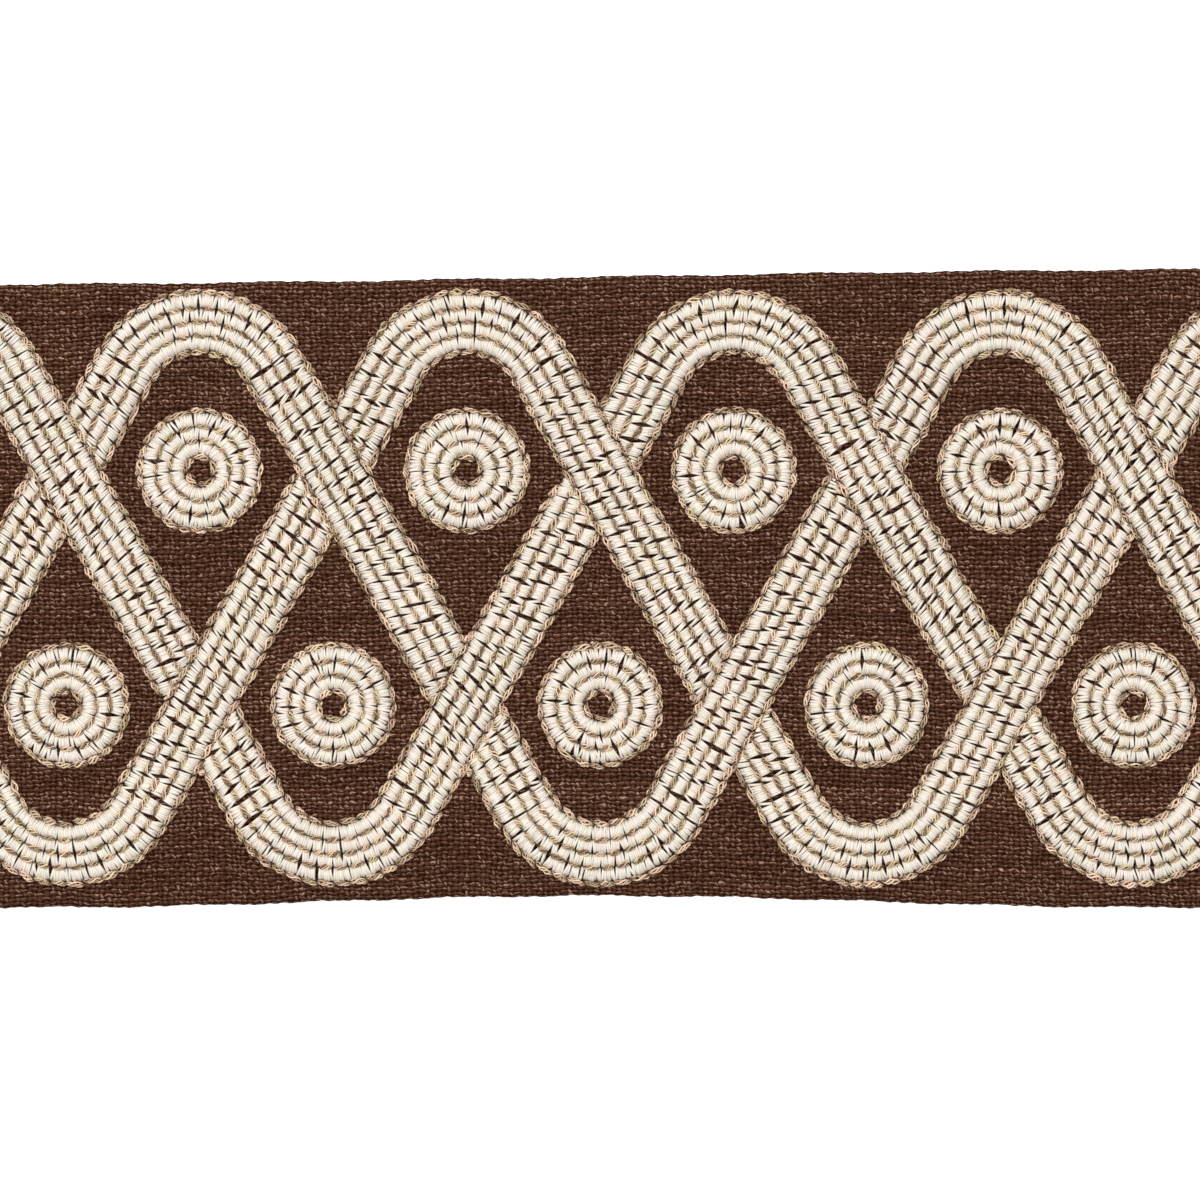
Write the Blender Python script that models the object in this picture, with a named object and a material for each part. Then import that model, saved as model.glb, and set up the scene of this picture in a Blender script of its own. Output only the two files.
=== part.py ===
"""A cut length of embroidered tape trim, lying flat and face up.

A brown plain-woven tape has both long edges turned under. Raised cream bands, each of four
padded satin rows, run along it as a three-strand plait, and a small roundel of three rows
fills each eye of the plait. X runs along the tape, Z is up, and the tape rests on z = 0.
"""

import math

import bmesh
import bpy
import numpy as np

MM = 0.001

# The plait, whose three strands follow the same path a third of a period apart
PERIOD = 138.2 * MM
BAND_WIDTH = 11.4 * MM
OUTLINE_WIDTH = 0.95 * MM
BAND_ROWS = 4
PLAIT_HALF_WIDTH = 51.6 * MM
BEND_RADIUS = 14.5 * MM

# The roundels, one in each eye
ROUNDEL_HOLE_RADIUS = 1.9 * MM
ROUNDEL_ROWS = 3

# Relief of the satin rows above the underside of the embroidery
CREST_HEIGHT = 1.25 * MM
VALLEY_HEIGHT = 0.80 * MM
ROW_EDGE_HEIGHT = 0.62 * MM

# The tape, cut just past its outermost roundels
TAPE_LENGTH = PERIOD * 11 / 6
CLOTH = 1.0 * MM
HEM_WIDTH = 10.0 * MM
FOLD_GAP = 0.3 * MM
RAMP_START = 10.5 * MM
RAMP_END = 28.5 * MM
STITCH_GAP = 0.3 * MM

# The long edges, which wander a little: a slow drift and a short ripple
FAR_EDGE = 54.1 * MM
FAR_DRIFT = 1.6 * MM
FAR_DRIFT_LENGTH = 90.0 * MM
NEAR_EDGE = -52.8 * MM
NEAR_BULGE = 2.0 * MM
NEAR_BULGE_LENGTH = 95.0 * MM
RIPPLE = 0.12 * MM
FAR_RIPPLE_LENGTH = 31.0 * MM
NEAR_RIPPLE_LENGTH = 23.0 * MM
FAR_RIPPLE_PHASE = 0.4
NEAR_RIPPLE_PHASE = 1.9

# Fineness of the solids
TAPE_STATIONS = 22
RAMP_POINTS = 6
FOLD_STEPS = 6
BEND_STEPS = 8
SHORT_LEG_RUNS = (3.5 * MM, 7.0 * MM)
LONG_LEG_RUNS = (4.0 * MM, 8.0 * MM, 12.0 * MM, 16.0 * MM)
ROUNDEL_STEPS = 20
CUT_TOLERANCE = 1e-7
SHARP_ANGLE = math.radians(40)

# Each row of bends: side of the tape, word in its names, first and last bend, counted from
# the tape's middle in thirds of a period
BEND_ROWS = ((1, "far", -3.5, 2.5), (-1, "near", -3.0, 3.0))

# The eyes, counted from the tape's middle in sixths of a period: odd ones lie on the far side
FIRST_EYE = -5
LAST_EYE = 5

# Worked out from the sizes above
AMPLITUDE = PLAIT_HALF_WIDTH - BAND_WIDTH / 2
ROW_WIDTH = (BAND_WIDTH - 2 * OUTLINE_WIDTH) / BAND_ROWS
BEND_HEIGHT = AMPLITUDE - BEND_RADIUS
LEG_ANGLE = math.atan2(BEND_HEIGHT, PERIOD / 4) + math.asin(
    BEND_RADIUS / math.hypot(BEND_HEIGHT, PERIOD / 4)
)
CROSSING_HEIGHT = PERIOD / 12 * math.tan(LEG_ANGLE)
HALF_BEND = BEND_RADIUS * LEG_ANGLE
LEG_TOP = BEND_HEIGHT + BEND_RADIUS * math.cos(LEG_ANGLE)
NEAR_CROSSING = (LEG_TOP - CROSSING_HEIGHT) / math.sin(LEG_ANGLE)
FAR_CROSSING = (LEG_TOP + CROSSING_HEIGHT) / math.sin(LEG_ANGLE)
HEM_LIFT = CLOTH + FOLD_GAP
FOLD_RADIUS = (CLOTH + HEM_LIFT) / 2
ROUNDEL_WIDTH = ROUNDEL_ROWS * ROW_WIDTH + 2 * OUTLINE_WIDTH
ROUNDEL_MID_RADIUS = ROUNDEL_HOLE_RADIUS + ROUNDEL_WIDTH / 2

# name: colour (red, green, blue), roughness
FINISHES = {
    "brown_linen": ((0.085, 0.037, 0.024), 0.90),
    "cream_satin_stitch": ((0.87, 0.80, 0.68), 0.50),
}


def far_edge_line(x):
    """Height of the far long edge at x: a slow drift and a short ripple about a straight line."""
    drift = FAR_DRIFT * np.tanh(x / FAR_DRIFT_LENGTH)
    ripple = RIPPLE * np.sin(2 * math.pi * x / FAR_RIPPLE_LENGTH + FAR_RIPPLE_PHASE)
    return FAR_EDGE + drift + ripple


def near_edge_line(x):
    """Height of the near long edge at x: narrowest at the middle, wider towards both ends."""
    spread = np.sin(math.pi / 2 * np.minimum(np.abs(x) / NEAR_BULGE_LENGTH, 1.0)) ** 2
    ripple = RIPPLE * np.sin(2 * math.pi * x / NEAR_RIPPLE_LENGTH + NEAR_RIPPLE_PHASE)
    return NEAR_EDGE - NEAR_BULGE * spread + ripple


STATIONS = np.linspace(-TAPE_LENGTH / 2, TAPE_LENGTH / 2, TAPE_STATIONS)
EDGE_CENTRE = (far_edge_line(STATIONS).max() + near_edge_line(STATIONS).min()) / 2


def hem_rise(depth):
    """How far the hem lifts the cloth at a depth in from the edge: level, then a soft ramp."""
    share = np.clip((RAMP_END - depth) / (RAMP_END - RAMP_START), 0.0, 1.0)
    return HEM_LIFT * share**2 * (3 - 2 * share)


def face_height(x, y):
    """Height of the tape's face at a point: its thickness and the lift of the nearer hem."""
    far_depth = far_edge_line(x) - EDGE_CENTRE - y
    near_depth = y - near_edge_line(x) + EDGE_CENTRE
    return CLOTH + hem_rise(np.minimum(far_depth, near_depth))


def skin(name, sections, closed):
    """Join equal closed sections, as an array (section, point, xyz), into one closed mesh."""
    count, size = sections.shape[:2]
    spans = count if closed else count - 1
    section, point = np.meshgrid(np.arange(spans), np.arange(size), indexing="ij")
    following = (section + 1) % count
    beside = (point + 1) % size
    corners = [
        section * size + point,
        following * size + point,
        following * size + beside,
        section * size + beside,
    ]
    faces = np.stack(corners, axis=-1).reshape(-1, 4).tolist()
    if not closed:
        faces.append(list(range(size)))
        faces.append(list(range((count - 1) * size, count * size)))
    mesh = bpy.data.meshes.new(name)
    mesh.from_pydata(sections.reshape(-1, 3).tolist(), [], faces)
    return mesh


def cut_square(work, x, side):
    """Cut a closed mesh off square at the tape's end and close the cut."""
    parts = work.verts[:] + work.edges[:] + work.faces[:]
    cut = bmesh.ops.bisect_plane(
        work,
        geom=parts,
        dist=CUT_TOLERANCE,
        plane_co=(x, 0.0, 0.0),
        plane_no=(side, 0.0, 0.0),
        clear_outer=True,
    )
    rim = [part for part in cut["geom_cut"] if isinstance(part, bmesh.types.BMEdge)]
    if rim:
        bmesh.ops.edgeloop_fill(work, edges=rim)


def add_piece(name, mesh, finish):
    """Trim a mesh to the tape's ends, turn its faces outwards and add it to the scene."""
    work = bmesh.new()
    work.from_mesh(mesh)
    for side in (-1.0, 1.0):
        cut_square(work, side * TAPE_LENGTH / 2, side)
    bmesh.ops.recalc_face_normals(work, faces=work.faces[:])
    work.to_mesh(mesh)
    work.free()
    mesh.shade_smooth()
    mesh.set_sharp_from_angle(angle=SHARP_ANGLE)
    mesh.materials.append(finish)
    piece = bpy.data.objects.new(name, mesh)
    bpy.context.collection.objects.link(piece)
    return piece


def make_finish(name):
    """Make one of the two finishes as a Principled BSDF."""
    colour, roughness = FINISHES[name]
    finish = bpy.data.materials.new(name)
    finish.use_nodes = True
    shader = finish.node_tree.nodes["Principled BSDF"]
    shader.inputs["Base Color"].default_value = (*colour, 1.0)
    shader.inputs["Roughness"].default_value = roughness
    shader.inputs["Metallic"].default_value = 0.0
    return finish


def half_section():
    """One side of the tape's section as depths in from the edge and heights.

    It runs outwards along the underside, round inside the fold, back along the hem to its raw
    edge, under the hem, round outside the fold, and inwards along the face.
    """
    ramp = np.linspace(RAMP_START, RAMP_END, RAMP_POINTS)
    bore = FOLD_GAP / 2
    under = [(depth, hem_rise(depth)) for depth in ramp[::-1]]
    inside = [
        (FOLD_RADIUS, FOLD_RADIUS + bore),
        (FOLD_RADIUS - bore, FOLD_RADIUS),
        (FOLD_RADIUS, FOLD_RADIUS - bore),
    ]
    raw_edge = [(HEM_WIDTH, CLOTH), (HEM_WIDTH, 0.0)]
    turns = np.linspace(-math.pi / 2, math.pi / 2, FOLD_STEPS + 1)
    outside = [
        (FOLD_RADIUS * (1 - math.cos(turn)), FOLD_RADIUS * (1 + math.sin(turn)))
        for turn in turns
    ]
    face = [(depth, CLOTH + hem_rise(depth)) for depth in ramp]
    return np.array(under + inside + raw_edge + outside + face)


def add_ground_tape(finish):
    """The whole tape: one cloth whose two long edges are folded under."""
    half = half_section()
    sections = []
    for x in STATIONS:
        far = far_edge_line(x) - EDGE_CENTRE - half[:, 0]
        near = near_edge_line(x) - EDGE_CENTRE + half[::-1, 0]
        across = np.concatenate([far, near])
        height = np.concatenate([half[:, 1], half[::-1, 1]])
        sections.append(np.stack([np.full_like(across, x), across, height], axis=-1))
    add_piece("ground_tape", skin("ground_tape", np.array(sections), False), finish)


def row_profile(rows):
    """Across a band: offsets from its middle and heights of its row edges, crests and valleys."""
    half = rows * ROW_WIDTH / 2
    offsets = [-half - OUTLINE_WIDTH, -half]
    heights = [0.0, ROW_EDGE_HEIGHT]
    for row in range(rows):
        start = row * ROW_WIDTH - half
        offsets += [start + ROW_WIDTH / 2, start + ROW_WIDTH]
        heights += [CREST_HEIGHT, VALLEY_HEIGHT]
    heights[-1] = ROW_EDGE_HEIGHT
    return np.array(offsets + [half + OUTLINE_WIDTH]), np.array(heights + [0.0])


def raised(x, y, heights):
    """Set a relief on the tape's face, a stitch gap above it."""
    return np.stack([x, y, face_height(x, y) + STITCH_GAP + heights], axis=-1)


def hook_sections(rows):
    """Sections of one plait hook about the middle of its bend, at x = 0.

    Distance along the hook counts from the top of its bend. A leg leaves the arc where the two
    are tangent. Both ends are mitred along the edge of the band that crosses over them.
    """
    offsets, heights = row_profile(rows)
    clear = BAND_WIDTH / 2 + STITCH_GAP
    mitre = (clear - offsets * math.cos(2 * LEG_ANGLE)) / math.sin(2 * LEG_ANGLE)
    start = mitre - HALF_BEND - NEAR_CROSSING
    finish = HALF_BEND + FAR_CROSSING - mitre
    bend = np.linspace(-HALF_BEND, HALF_BEND, BEND_STEPS + 1)
    short_leg = [-HALF_BEND - run for run in reversed(SHORT_LEG_RUNS)]
    long_leg = [HALF_BEND + run for run in LONG_LEG_RUNS]
    middle = np.concatenate([short_leg, bend, long_leg])
    along = np.vstack([start, np.repeat(middle[:, None], len(offsets), axis=1), finish])
    turn = -np.clip(along / BEND_RADIUS, -LEG_ANGLE, LEG_ANGLE)
    run = along - np.clip(along, -HALF_BEND, HALF_BEND)
    reach = BEND_RADIUS + offsets
    x = -reach * np.sin(turn) + run * np.cos(turn)
    y = BEND_HEIGHT + reach * np.cos(turn) + run * np.sin(turn)
    return x, y, heights


def add_plait(finish):
    """Every stretch of band between two places where it dives under another.

    Hooks round the far bends stand a third of a period apart. Those round the near bends are
    the same shape turned over, half a spacing along.
    """
    x, y, heights = hook_sections(BAND_ROWS)
    spacing = PERIOD / 3
    for side, word, first, last in BEND_ROWS:
        for number, place in enumerate(np.arange(first, last + 1), start=1):
            name = f"plait_{word}_{number}"
            sections = raised(x + place * spacing, side * y, heights)
            add_piece(name, skin(name, sections, False), finish)


def add_roundels(finish):
    """A ring of satin rows in each eye, level with the crossings to either side of it."""
    offsets, heights = row_profile(ROUNDEL_ROWS)
    turns = np.linspace(0, 2 * math.pi, ROUNDEL_STEPS, endpoint=False)[:, None]
    reach = ROUNDEL_MID_RADIUS + offsets
    spacing = PERIOD / 6
    for number, place in enumerate(range(FIRST_EYE, LAST_EYE + 1), start=1):
        name = f"roundel_{number}"
        side = 1 if place % 2 else -1
        x = place * spacing + reach * np.cos(turns)
        y = side * CROSSING_HEIGHT + reach * np.sin(turns)
        add_piece(name, skin(name, raised(x, y, heights), True), finish)


def main():
    for old in list(bpy.data.objects):
        bpy.data.objects.remove(old, do_unlink=True)
    linen = make_finish("brown_linen")
    satin = make_finish("cream_satin_stitch")
    add_ground_tape(linen)
    add_plait(satin)
    add_roundels(satin)


main()
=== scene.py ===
"""The looks of a cut length of embroidered tape trim, lying face up on a pale floor.

The ground is a brown plain-woven cloth with both long edges turned under. On it, cream threads
are laid side by side across each band and roundel, and lines of tan stitches along the bands
hold them down, so that they stand up as padded rows. Each needle hole parts the laid threads
into a dark slit. Everything is in metres, with X along the tape and Z up.
"""

import logging
import math
from dataclasses import dataclass, field
from enum import Enum

import bpy
import numpy as np
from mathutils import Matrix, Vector

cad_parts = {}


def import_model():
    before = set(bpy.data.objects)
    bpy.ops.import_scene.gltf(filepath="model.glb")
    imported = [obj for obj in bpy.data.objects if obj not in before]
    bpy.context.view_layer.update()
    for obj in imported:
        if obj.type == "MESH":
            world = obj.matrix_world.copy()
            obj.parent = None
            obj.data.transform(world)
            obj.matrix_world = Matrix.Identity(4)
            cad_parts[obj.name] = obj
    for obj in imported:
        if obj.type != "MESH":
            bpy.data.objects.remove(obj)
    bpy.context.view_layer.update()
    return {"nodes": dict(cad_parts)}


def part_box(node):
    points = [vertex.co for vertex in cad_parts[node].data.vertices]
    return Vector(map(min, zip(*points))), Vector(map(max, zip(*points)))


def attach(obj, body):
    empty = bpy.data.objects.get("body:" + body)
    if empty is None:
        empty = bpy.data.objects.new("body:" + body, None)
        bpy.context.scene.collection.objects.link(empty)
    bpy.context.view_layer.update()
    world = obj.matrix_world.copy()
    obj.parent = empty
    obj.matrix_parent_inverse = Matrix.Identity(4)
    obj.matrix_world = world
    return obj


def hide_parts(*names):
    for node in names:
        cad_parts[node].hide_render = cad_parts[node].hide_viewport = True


LOG = logging.getLogger("tape_trim")
MM = 0.001

PHOTO_PIXELS = 1200
METRES_PER_PIXEL = 0.1728 * MM
TAPE_MIDDLE_ROW = 588

# Stations that the frame's outline has along the tape, and the least number to divide by
OUTLINE_STATIONS = 22
TINY = 1e-12

# The cloth's waves: rate along the tape, rate across it, phase and height
PUCKER_HEIGHT = 0.05 * MM
PUCKER_WAVES = (
    (310.0, 170.0, 0.6, 1.0),
    (-240.0, 290.0, 2.1, 0.7),
    (520.0, -130.0, 4.0, 0.5),
)

# Corners of a thread's section, and a short step for reading a path's sideways direction
THREAD_SIDES = 3
SIDE_STEP = 0.1 * MM


class Side(Enum):
    """The two long edges of the tape, as seen with its length across."""

    FAR = 1
    NEAR = -1


@dataclass(frozen=True)
class TapeForm:
    """The tape's outline and the lie of its cloth.

    Attributes:
        length: Length of the cut.
        cloth: Thickness of the cloth.
        hem_width: Width of the strip that is turned under.
        fold_gap: Space between the two layers of a hem.
        ramp_start: Depth in from the edge where the face starts to come down.
        ramp_end: Depth in from the edge where the cloth lies on the floor.
        far_edge: The far edge's y in the middle of the tape.
        far_drift: How far that edge drifts to either side towards the ends.
        far_drift_length: Length over which it drifts.
        far_ripple_length: Length of its ripple.
        far_ripple_phase: Where its ripple starts.
        near_edge: The near edge's y in the middle of the tape.
        near_bulge: How far that edge moves out towards the ends.
        near_bulge_length: Length over which it moves out.
        near_ripple_length: Length of its ripple.
        near_ripple_phase: Where its ripple starts.
        ripple: Height of both ripples.
        serration: Height of the waves that single yarns give to a fold.
        serrated_depth: Depth in from the edge over which they fade.
        yarn_pair: Length of the shortest of them, which is two crosswise yarns.
        yarn_sway: Rate at which that length sways along the tape.
        serration_waves: Length, phase and height of the longer ones.
        centre_shift: What brings the middle of the outline to y = 0.
    """

    length: float
    cloth: float = 1.0 * MM
    hem_width: float = 10.0 * MM
    fold_gap: float = 0.3 * MM
    ramp_start: float = 10.5 * MM
    ramp_end: float = 28.5 * MM
    far_edge: float = 54.1 * MM
    far_drift: float = 1.6 * MM
    far_drift_length: float = 90.0 * MM
    far_ripple_length: float = 31.0 * MM
    far_ripple_phase: float = 0.4
    near_edge: float = -52.8 * MM
    near_bulge: float = 2.0 * MM
    near_bulge_length: float = 95.0 * MM
    near_ripple_length: float = 23.0 * MM
    near_ripple_phase: float = 1.9
    ripple: float = 0.12 * MM
    serration: float = 0.055 * MM
    serrated_depth: float = 1.5 * MM
    yarn_pair: float = 1.96 * MM
    yarn_sway: float = 300.0
    serration_waves: tuple[tuple[float, float, float], ...] = (
        (3.1 * MM, 1.3, 0.8),
        (7.3 * MM, 0.4, 0.9),
    )
    centre_shift: float = 0.0

    @property
    def hem_lift(self) -> float:
        """How far a hem lifts the face."""
        return self.cloth + self.fold_gap

    def edge(self, side: Side, x: np.ndarray) -> np.ndarray:
        """The long edge's y at x: a slow drift or bulge and a short ripple.

        Args:
            side: Which of the two edges.
            x: Places along the tape.

        Returns:
            The edge's y at each place.
        """
        if side is Side.FAR:
            phase = 2 * math.pi * x / self.far_ripple_length + self.far_ripple_phase
            drift = self.far_drift * np.tanh(x / self.far_drift_length)
            line = self.far_edge + drift + self.ripple * np.sin(phase)
        else:
            phase = 2 * math.pi * x / self.near_ripple_length + self.near_ripple_phase
            share = np.minimum(np.abs(x) / self.near_bulge_length, 1.0)
            bulge = self.near_bulge * np.sin(math.pi / 2 * share) ** 2
            line = self.near_edge - bulge + self.ripple * np.sin(phase)
        return line - self.centre_shift

    def serrated(self, x: np.ndarray, depth: np.ndarray) -> np.ndarray:
        """How far the yarns that turn over a fold stand out or draw in along its edge.

        Three sine waves fade evenly with the depth, and the shortest sways in length.

        Args:
            x: Places along the tape.
            depth: Distance in from the edge.

        Returns:
            The shift outwards at each point.
        """
        waves = np.sin(2 * math.pi * x / self.yarn_pair + 2 * np.sin(x * self.yarn_sway))
        for length, phase, height in self.serration_waves:
            waves = waves + height * np.sin(2 * math.pi * x / length + phase)
        return self.serration * waves * np.clip(1 - depth / self.serrated_depth, 0.0, 1.0)

    def rise(self, depth: np.ndarray) -> np.ndarray:
        """Lift over the hem at a depth in from the edge: level, then a smooth ramp to nothing.

        Args:
            depth: Distance in from the nearer edge.

        Returns:
            The lift at each depth.
        """
        share = (self.ramp_end - depth) / (self.ramp_end - self.ramp_start)
        share = np.clip(share, 0.0, 1.0)
        return self.hem_lift * share**2 * (3 - 2 * share)

    def face(self, x: np.ndarray, y: np.ndarray) -> np.ndarray:
        """Height of the cloth's face: its thickness plus the lift of the nearer hem.

        Args:
            x: Places along the tape.
            y: Places across it.

        Returns:
            The height of the face at each point.
        """
        far = self.edge(Side.FAR, x) - y
        near = y - self.edge(Side.NEAR, x)
        return self.cloth + self.rise(np.minimum(far, near)) + pucker(x, y)


def pucker(x: np.ndarray, y: np.ndarray) -> np.ndarray:
    """Slight unevenness of the cloth: the sum of three crossed sine waves.

    Args:
        x: Places along the tape.
        y: Places across it.

    Returns:
        The height to add at each point, up to about a tenth of a millimetre.
    """
    waves = [
        height * np.sin(along * x + across * y + phase)
        for along, across, phase, height in PUCKER_WAVES
    ]
    return PUCKER_HEIGHT * sum(waves)


@dataclass(frozen=True)
class PlaitForm:
    """Sizes of the three-strand plait and of the roundels in its eyes.

    Attributes:
        period: Length of one repeat of a strand.
        band_width: Width of a band with its outline stitches.
        outline_width: Width that each outline takes.
        band_rows: Satin rows in a band.
        half_width: Distance from the plait's middle to the outside of its bends.
        bend_radius: Radius of a band's middle line in a bend.
        hole_radius: Radius of a roundel's bare middle.
        roundel_rows: Satin rows in a roundel.
    """

    period: float = 138.2 * MM
    band_width: float = 11.4 * MM
    outline_width: float = 0.95 * MM
    band_rows: int = 4
    half_width: float = 51.6 * MM
    bend_radius: float = 14.5 * MM
    hole_radius: float = 1.9 * MM
    roundel_rows: int = 3

    @property
    def row_width(self) -> float:
        """Width of one satin row."""
        return (self.band_width - 2 * self.outline_width) / self.band_rows

    @property
    def bend_height(self) -> float:
        """Distance of a bend's centre from the plait's middle line."""
        return self.half_width - self.band_width / 2 - self.bend_radius

    @property
    def leg_angle(self) -> float:
        """Slope of a straight leg, which is tangent to the bends at both its ends."""
        quarter = self.period / 4
        reach = math.hypot(quarter, self.bend_height)
        return math.atan2(self.bend_height, quarter) + math.asin(self.bend_radius / reach)

    @property
    def crossing_height(self) -> float:
        """Distance of the crossings and of the eyes' middles from the plait's middle line."""
        return self.period / 12 * math.tan(self.leg_angle)

    @property
    def roundel_radius(self) -> float:
        """Radius of the middle of a roundel's rows."""
        width = self.roundel_rows * self.row_width + 2 * self.outline_width
        return self.hole_radius + width / 2


@dataclass(frozen=True)
class TanLine:
    """How the tan stitches of one kind of line lie.

    Attributes:
        gap: What is left open between a needle hole and the stitch, negative for an overlap.
        slant: How far a stitch's ends lie to either side of the line.
        wander: Spread of the stitches to the sides.
        roundness: Power that shapes a stitch, 2 for an ellipse and more for a bar.
        base: Height of a stitch's ends above the cloth.
        hump: How much higher its middle is.
        spread: Distance of the plies from the stitch's own line, as a share of the usual.
        thickness: Thickness of the plies, as a share of the usual.
        warmth: Usual hue, from 0 for sallow to 1 for rosy.
        tint: Usual tone of a ply, from 0 for deep to 1 for pale.
        dark: Usual tone of the last ply.
        slant_spread: Spread of the slants.
        hump_range: Least and greatest hump, as shares of the usual.
        fat_range: Least and greatest thickness of a stitch, as shares.
        turn_range: Least and greatest number of turns that its plies make.
        ply_range: Least and greatest distance of a single ply, as shares.
        ply_stray: Spread of the plies' angles.
        end_spread: Share of their distance that the plies keep at the ends.
        end_thickness: Share of their thickness that they keep there.
        painted_end_shade: Painted shade: how much deeper the tone is there, where the stitches
            dive into their holes.
        hue_spread: Spread of the hues.
        tone_spread: Spread of the tones.
    """

    gap: float
    slant: float
    wander: float
    roundness: float
    base: float
    hump: float
    spread: float
    thickness: float
    warmth: float
    tint: float
    # dark: Usual tone of the last ply, a deep ply that also stands in for the shade between the
    # plies.
    dark: float
    slant_spread: float = 0.07 * MM
    hump_range: tuple[float, float] = (0.88, 1.08)
    fat_range: tuple[float, float] = (0.78, 1.22)
    turn_range: tuple[float, float] = (0.6, 1.1)
    ply_range: tuple[float, float] = (0.8, 1.2)
    ply_stray: float = 0.25
    end_spread: float = 0.15
    end_thickness: float = 0.35
    painted_end_shade: float = 0.4
    hue_spread: float = 0.30
    tone_spread: float = 0.28


@dataclass(frozen=True)
class SlitForm:
    """How far the needle holes push the laid threads beside them.

    Attributes:
        push: Greatest push of a usual hole.
        inner_edge: Share of it on a band's inner edge in a bend.
        outer_edge: Share on its outer edge there.
        bend_least: Share between rows there, before what is added.
        bend_gain: What is added to that share from the band's inner to its outer edge.
        leg_edge: Share on both edges where a band is straight.
        leg: Share between rows there.
        push_range: Least and greatest push of a single hole, as shares.
        stray_share: Share of the thread ends that a hole moves the wrong way.
        stray_push: What their push is multiplied by.
    """

    push: float = 0.40 * MM
    inner_edge: float = 0.12
    outer_edge: float = 0.25
    bend_least: float = 0.35
    bend_gain: float = 0.55
    leg_edge: float = 0.42
    leg: float = 0.95
    push_range: tuple[float, float] = (0.45, 1.55)
    stray_share: float = 0.05
    stray_push: float = -0.8


@dataclass(frozen=True)
class ThreadForm:
    """Sizes of the laid threads.

    Attributes:
        leg_pitch: Distance between neighbouring threads where a band is straight.
        bend_pitch: That distance in a bend or roundel, at the middle of a row.
        radius: Radius of a thread.
        end_radius: Share of the radius at its ends.
        shares: Places of its points, as shares of its length.
        crest: Height of a row's crest above the cloth.
        valley: Height of the threads between two rows.
        edge_height: Height of their ends at a band's edges.
        arch_power: Power of the sine that arches a thread over its row.
        slant_waves: Height, rate along the band and phase of each wave of the slant.
        least: Shortest piece of a thread that is kept at a cut.
        place_spread: Spread of the threads along the band.
        lean_spread: Spread of their own slants.
        crossing_share: Share of the threads that cross their neighbours.
        crossing_lean: How far those lean.
        edge_spread: Spread of the ends along a band's edge.
        edge_range: How far the ends reach past the edge, and how far they fall short of it.
        crest_spread: Spread of the crests, as a share.
        tone: Usual tone of a thread's crest, from 0 for deep to 1 for pale.
        tone_spread: Spread of the tones.
        painted_end_shade: Painted shade: how much deeper the tone is at the ends, where the
            threads go down between the rows.
    """

    leg_pitch: float = 0.42 * MM
    bend_pitch: float = 0.345 * MM
    radius: float = 0.25 * MM
    end_radius: float = 0.75
    shares: tuple[float, ...] = (0.0, 0.14, 0.36, 0.64, 0.86, 1.0)
    crest: float = 1.30 * MM
    valley: float = 0.45 * MM
    edge_height: float = 0.12 * MM
    arch_power: float = 0.95
    slant_waves: tuple[tuple[float, float, float], ...] = ((0.27, 70.0, 1.7), (0.09, 210.0, 1.0))
    least: float = 0.35 * MM
    place_spread: float = 0.03 * MM
    lean_spread: float = 0.035
    crossing_share: float = 0.03
    crossing_lean: float = 0.25
    edge_spread: float = 0.045 * MM
    edge_range: tuple[float, float] = (0.16 * MM, 0.20 * MM)
    crest_spread: float = 0.03
    tone: float = 0.78
    tone_spread: float = 0.15
    painted_end_shade: float = 0.24


@dataclass(frozen=True)
class StitchForm:
    """Sizes of the tan stitches, and what they share with the laid threads.

    Attributes:
        leg_stitch: Length of a tan stitch where a band is straight.
        bend_stitch: Its length in a bend or roundel.
        plies: Plies of a tan stitch.
        points: Points along each ply.
        ply_radius: Thickest radius of each ply.
        twist_radius: How far the plies lie from the stitch's own line.
        outline_place: Distance of an outline from its edge row, as a share of its width.
        least: Shortest piece of a tan stitch that is kept at a cut.
        hole_spread: Spread of the needle holes along their line.
        hole_drift: Height of the slow wave that shifts them on the legs.
        hole_drift_rate: Rate of that wave along the band.
        hole_drift_phases: What a row and a band add to its phase.
        tuck: How far stitches run in under the edge of a band that crosses over them.
        mitre_fade: Distance from that edge over which the embroidery dips.
        cut_fade: Distance from a cut end over which it dips.
        kept_height: Share of its height that it keeps there.
        fewest: Least number of stitches in a stretch of a line.
        slit: The slits at the needle holes.
        thread: Sizes of the laid threads.
        row_line: The tan stitches between two rows.
        outline: Those beside an edge row.
    """

    leg_stitch: float = 3.3 * MM
    bend_stitch: float = 2.9 * MM
    plies: int = 4
    points: int = 7
    ply_radius: float = 0.165 * MM
    twist_radius: float = 0.42 * MM
    outline_place: float = 0.45
    least: float = 0.7 * MM
    hole_spread: float = 0.17 * MM
    hole_drift: float = 0.75 * MM
    hole_drift_rate: float = 85.0
    hole_drift_phases: tuple[float, float] = (1.9, 2.3)
    tuck: float = 0.15 * MM
    mitre_fade: float = 1.3 * MM
    cut_fade: float = 2.2 * MM
    kept_height: float = 0.35
    fewest: int = 3
    slit: SlitForm = SlitForm()
    thread: ThreadForm = ThreadForm()
    row_line: TanLine = TanLine(
        gap=0.24 * MM,
        slant=0.03 * MM,
        wander=0.05 * MM,
        roundness=5.0,
        base=0.50 * MM,
        hump=0.58 * MM,
        spread=1.0,
        thickness=1.0,
        warmth=0.45,
        tint=0.72,
        dark=0.16,
    )
    outline: TanLine = TanLine(
        gap=-0.10 * MM,
        slant=0.27 * MM,
        wander=0.08 * MM,
        roundness=2.0,
        base=0.10 * MM,
        hump=0.34 * MM,
        spread=1.08,
        thickness=1.25,
        warmth=0.78,
        tint=0.74,
        dark=0.40,
    )


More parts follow.
